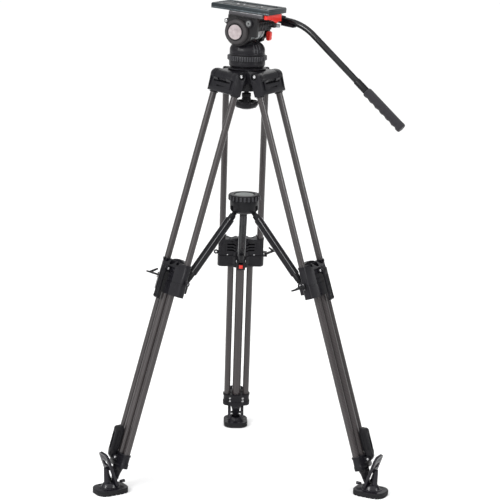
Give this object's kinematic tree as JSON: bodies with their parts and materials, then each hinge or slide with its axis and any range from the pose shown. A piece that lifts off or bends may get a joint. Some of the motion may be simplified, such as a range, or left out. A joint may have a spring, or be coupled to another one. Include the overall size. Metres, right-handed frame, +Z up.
{
  "type": "fluid head tripod",
  "caption": "Camera tripod with a fluid head: carbon tube legs in stages with flip clamps, mid-level spreader, rubber shoes on spikes and a pan bar with a foam grip.",
  "frame": {"origin": "middle of the bounding box, on the ground plane that the shoes stand on", "axes": "+Z up; +Y towards the back leg; the other legs stand 120 degrees to either side of it"},
  "size_m": [0.7226, 0.6208, 1.1656],
  "materials": {
    "casting": "semi-matt charcoal",
    "carbon": "clear-coated carbon weave",
    "black_plastic": "fine texture",
    "red_plastic": "satin moulded",
    "rubber": "matt",
    "anodised": "dark anodised",
    "grey_metal": "satin",
    "black_tube": "gloss"
  },
  "bodies": {
    "crown": {"crown": "casting"},
    "back_upper_leg": {"back_leg_shoulder": "casting", "back_upper_tube_a": "carbon", "back_upper_tube_b": "carbon", "back_middle_clamp": "casting"},
    "back_middle_lever": {"back_middle_clamp_lever": "black_plastic"},
    "back_middle_stage": {"back_middle_tube_a": "carbon", "back_middle_tube_b": "carbon", "back_lower_clamp": "casting"},
    "back_lower_lever": {"back_lower_clamp_lever": "black_plastic"},
    "back_lower_stage": {"back_lower_tube": "carbon", "back_spike_foot": "casting"},
    "back_shoe": {"back_rubber_shoe": "rubber"},
    "back_arm": {"back_spreader_arm": "black_plastic"},
    "back_button": {"back_arm_release_button": "red_plastic"},
    "back_clip": {"back_transport_clip": "black_plastic"},
    "left_upper_leg": {"left_leg_shoulder": "casting", "left_upper_tube_a": "carbon", "left_upper_tube_b": "carbon", "left_middle_clamp": "casting"},
    "left_middle_lever": {"left_middle_clamp_lever": "black_plastic"},
    "left_middle_stage": {"left_middle_tube_a": "carbon", "left_middle_tube_b": "carbon", "left_lower_clamp": "casting"},
    "left_lower_lever": {"left_lower_clamp_lever": "black_plastic"},
    "left_lower_stage": {"left_lower_tube": "carbon", "left_spike_foot": "casting"},
    "left_shoe": {"left_rubber_shoe": "rubber"},
    "left_arm": {"left_spreader_arm": "black_plastic"},
    "left_button": {"left_arm_release_button": "red_plastic"},
    "left_clip": {"left_transport_clip": "black_plastic"},
    "right_upper_leg": {"right_leg_shoulder": "casting", "right_upper_tube_a": "carbon", "right_upper_tube_b": "carbon", "right_middle_clamp": "casting"},
    "right_middle_lever": {"right_middle_clamp_lever": "black_plastic"},
    "right_middle_stage": {"right_middle_tube_a": "carbon", "right_middle_tube_b": "carbon", "right_lower_clamp": "casting"},
    "right_lower_lever": {"right_lower_clamp_lever": "black_plastic"},
    "right_lower_stage": {"right_lower_tube": "carbon", "right_spike_foot": "casting"},
    "right_shoe": {"right_rubber_shoe": "rubber"},
    "right_arm": {"right_spreader_arm": "black_plastic"},
    "right_button": {"right_arm_release_button": "red_plastic"},
    "right_clip": {"right_transport_clip": "black_plastic"},
    "spreader_hub": {"spreader_hub": "black_plastic"},
    "head_base": {"head_base": "casting"},
    "tie_down_knob": {"tie_down_knob": "black_plastic"},
    "pan_drag_ring": {"pan_drag_ring": "black_plastic"},
    "pan_housing": {"pan_housing": "casting"},
    "tilt_body": {"tilt_body": "casting"},
    "tilt_drag_dial": {"tilt_drag_dial": "black_plastic"},
    "tilt_brake_lever": {"tilt_brake_lever": "red_plastic"},
    "plate_lock_lever": {"plate_lock_lever": "red_plastic"},
    "camera_plate": {"camera_plate": "anodised"},
    "pan_bar": {"pan_bar_clamp": "casting", "pan_bar_tube": "black_tube", "pan_bar_grip": "rubber"},
    "clamp_knob": {"pan_bar_clamp_knob": "grey_metal"}
  },
  "joints": [
    {"name": "back_leg_fold", "type": "hinge", "parent": "crown", "child": "back_upper_leg", "pos_m": [-0.00753, -0.04384, 0.99], "axis": [-1, 0, 0], "range_deg": [0, 15]},
    {"name": "back_arm_fold", "type": "hinge", "parent": "back_upper_leg", "child": "back_arm", "pos_m": [-0.00753, 0.06918, 0.49535], "axis": [-1, 0, 0], "range_deg": [0, 22.8]},
    {"name": "back_middle_stage_slide", "type": "slide", "parent": "back_upper_leg", "child": "back_middle_stage", "axis": [0, -0.2944, 0.9557], "range_m": [0, 0.31]},
    {"name": "back_lower_stage_slide", "type": "slide", "parent": "back_middle_stage", "child": "back_lower_stage", "axis": [0, 0.2944, -0.9557], "range_m": [0, 0.34]},
    {"name": "back_middle_lever_flip", "type": "hinge", "parent": "back_upper_leg", "child": "back_middle_lever", "pos_m": [-0.00753, 0.12268, 0.54113], "axis": [1, 0, 0], "range_deg": [0, 100]},
    {"name": "back_lower_lever_flip", "type": "hinge", "parent": "back_middle_stage", "child": "back_lower_lever", "pos_m": [-0.00753, 0.26353, 0.09063], "axis": [-1, 0, 0], "range_deg": [0, 50]},
    {"name": "back_shoe_tilt", "type": "hinge", "parent": "back_lower_stage", "child": "back_shoe", "pos_m": [-0.00753, 0.25936, 0.016], "axis": [1, 0, 0], "range_deg": [-6, 6]},
    {"name": "back_button_press", "type": "slide", "parent": "back_upper_leg", "child": "back_button", "axis": [0, 0.9557, 0.2944], "range_m": [0, 0.003], "stiffness_N_per_m": 900},
    {"name": "back_clip_swing", "type": "hinge", "parent": "back_upper_leg", "child": "back_clip", "pos_m": [0.05647, 0.10482, 0.50738], "axis": [0, -0.2944, 0.9557], "range_deg": [-117, 43]},
    {"name": "left_leg_fold", "type": "hinge", "parent": "crown", "child": "left_upper_leg", "pos_m": [-0.05152, -0.12004, 0.99], "axis": [0.5, -0.866, 0], "range_deg": [0, 15]},
    {"name": "left_arm_fold", "type": "hinge", "parent": "left_upper_leg", "child": "left_arm", "pos_m": [-0.1494, -0.17655, 0.49535], "axis": [0.5, -0.866, 0], "range_deg": [0, 22.8]},
    {"name": "left_middle_stage_slide", "type": "slide", "parent": "left_upper_leg", "child": "left_middle_stage", "axis": [0.2549, 0.1472, 0.9557], "range_m": [0, 0.31]},
    {"name": "left_lower_stage_slide", "type": "slide", "parent": "left_middle_stage", "child": "left_lower_stage", "axis": [-0.2549, -0.1472, -0.9557], "range_m": [0, 0.34]},
    {"name": "left_middle_lever_flip", "type": "hinge", "parent": "left_upper_leg", "child": "left_middle_lever", "pos_m": [-0.19573, -0.2033, 0.54113], "axis": [-0.5, 0.866, 0], "range_deg": [0, 100]},
    {"name": "left_lower_lever_flip", "type": "hinge", "parent": "left_middle_stage", "child": "left_lower_lever", "pos_m": [-0.31771, -0.27372, 0.09063], "axis": [0.5, -0.866, 0], "range_deg": [0, 50]},
    {"name": "left_shoe_tilt", "type": "hinge", "parent": "left_lower_stage", "child": "left_shoe", "pos_m": [-0.3141, -0.27164, 0.016], "axis": [-0.5, 0.866, 0], "range_deg": [-6, 6]},
    {"name": "left_button_press", "type": "slide", "parent": "left_upper_leg", "child": "left_button", "axis": [-0.8277, -0.4778, 0.2944], "range_m": [0, 0.003], "stiffness_N_per_m": 900},
    {"name": "left_clip_swing", "type": "hinge", "parent": "left_upper_leg", "child": "left_clip", "pos_m": [-0.21226, -0.13894, 0.50738], "axis": [0.2549, 0.1472, 0.9557], "range_deg": [-118, 42]},
    {"name": "right_leg_fold", "type": "hinge", "parent": "crown", "child": "right_upper_leg", "pos_m": [0.03647, -0.12004, 0.99], "axis": [0.5, 0.866, 0], "range_deg": [0, 15]},
    {"name": "right_arm_fold", "type": "hinge", "parent": "right_upper_leg", "child": "right_arm", "pos_m": [0.13434, -0.17655, 0.49535], "axis": [0.5, 0.866, 0], "range_deg": [0, 22.8]},
    {"name": "right_middle_stage_slide", "type": "slide", "parent": "right_upper_leg", "child": "right_middle_stage", "axis": [-0.2549, 0.1472, 0.9557], "range_m": [0, 0.31]},
    {"name": "right_lower_stage_slide", "type": "slide", "parent": "right_middle_stage", "child": "right_lower_stage", "axis": [0.2549, -0.1472, -0.9557], "range_m": [0, 0.34]},
    {"name": "right_middle_lever_flip", "type": "hinge", "parent": "right_upper_leg", "child": "right_middle_lever", "pos_m": [0.18067, -0.2033, 0.54113], "axis": [-0.5, -0.866, 0], "range_deg": [0, 100]},
    {"name": "right_lower_lever_flip", "type": "hinge", "parent": "right_middle_stage", "child": "right_lower_lever", "pos_m": [0.30266, -0.27372, 0.09063], "axis": [0.5, 0.866, 0], "range_deg": [0, 50]},
    {"name": "right_shoe_tilt", "type": "hinge", "parent": "right_lower_stage", "child": "right_shoe", "pos_m": [0.29905, -0.27164, 0.016], "axis": [-0.5, -0.866, 0], "range_deg": [-6, 6]},
    {"name": "right_button_press", "type": "slide", "parent": "right_upper_leg", "child": "right_button", "axis": [0.8277, -0.4778, 0.2944], "range_m": [0, 0.003], "stiffness_N_per_m": 900},
    {"name": "right_clip_swing", "type": "hinge", "parent": "right_upper_leg", "child": "right_clip", "pos_m": [0.13321, -0.24979, 0.50738], "axis": [-0.2549, 0.1472, 0.9557], "range_deg": [-48, 112]},
    {"name": "hub_lift", "type": "slide", "parent": "crown", "child": "spreader_hub", "axis": [0, 0, 1], "range_m": [0, 0.04]},
    {"name": "level_tilt", "type": "hinge", "parent": "crown", "child": "head_base", "pos_m": [-0.00753, -0.09464, 1.014], "axis": [0.5128, 0.8585, 0], "range_deg": [-3, 3]},
    {"name": "tie_down_turn", "type": "hinge", "parent": "head_base", "child": "tie_down_knob", "pos_m": [-0.00753, -0.09464, 0.93], "axis": [0, 0, 1], "continuous": true},
    {"name": "pan_drag_turn", "type": "hinge", "parent": "head_base", "child": "pan_drag_ring", "pos_m": [-0.00753, -0.09464, 1.0355], "axis": [0, 0, 1], "range_deg": [0, 150]},
    {"name": "pan", "type": "hinge", "parent": "head_base", "child": "pan_housing", "pos_m": [-0.00753, -0.09464, 1.054], "axis": [0, 0, 1], "continuous": true},
    {"name": "tilt", "type": "hinge", "parent": "pan_housing", "child": "tilt_body", "pos_m": [-0.00753, -0.09464, 1.101], "axis": [0.5128, 0.8585, 0], "range_deg": [-70, 25]},
    {"name": "tilt_drag_turn", "type": "hinge", "parent": "tilt_body", "child": "tilt_drag_dial", "pos_m": [-0.03624, -0.14271, 1.101], "axis": [0.5128, 0.8585, 0], "range_deg": [-75, 75]},
    {"name": "tilt_brake_turn", "type": "hinge", "parent": "tilt_body", "child": "tilt_brake_lever", "pos_m": [0.04354, -0.07389, 1.08695], "axis": [0.5128, 0.8585, 0], "range_deg": [-15, 15]},
    {"name": "plate_lock_swing", "type": "hinge", "parent": "tilt_body", "child": "plate_lock_lever", "pos_m": [0.03261, -0.16055, 1.1359], "axis": [-0.0524, 0.0313, -0.9981], "range_deg": [0, 60]},
    {"name": "plate_slide", "type": "slide", "parent": "tilt_body", "child": "camera_plate", "axis": [-0.8569, 0.5118, 0.061], "range_m": [-0.03, 0.03]},
    {"name": "pan_bar_angle", "type": "hinge", "parent": "tilt_body", "child": "pan_bar", "pos_m": [0.05712, -0.06395, 1.12862], "axis": [-0.5128, -0.8585, 0], "range_deg": [-20, 60]},
    {"name": "clamp_knob_turn", "type": "hinge", "parent": "pan_bar", "child": "clamp_knob", "pos_m": [0.06321, -0.06759, 1.11366], "axis": [0.0524, -0.0313, 0.9981], "continuous": true}
  ],
  "couplings": [
    {"joint": "back_arm_fold", "follows": "back_leg_fold", "ratio": 1.5089},
    {"joint": "left_leg_fold", "follows": "back_leg_fold", "ratio": 1},
    {"joint": "left_arm_fold", "follows": "back_leg_fold", "ratio": 1.5089},
    {"joint": "right_leg_fold", "follows": "back_leg_fold", "ratio": 1},
    {"joint": "right_arm_fold", "follows": "back_leg_fold", "ratio": 1.5089},
    {"joint": "hub_lift", "follows": "back_leg_fold", "m_per_rad": 0.15018}
  ]
}
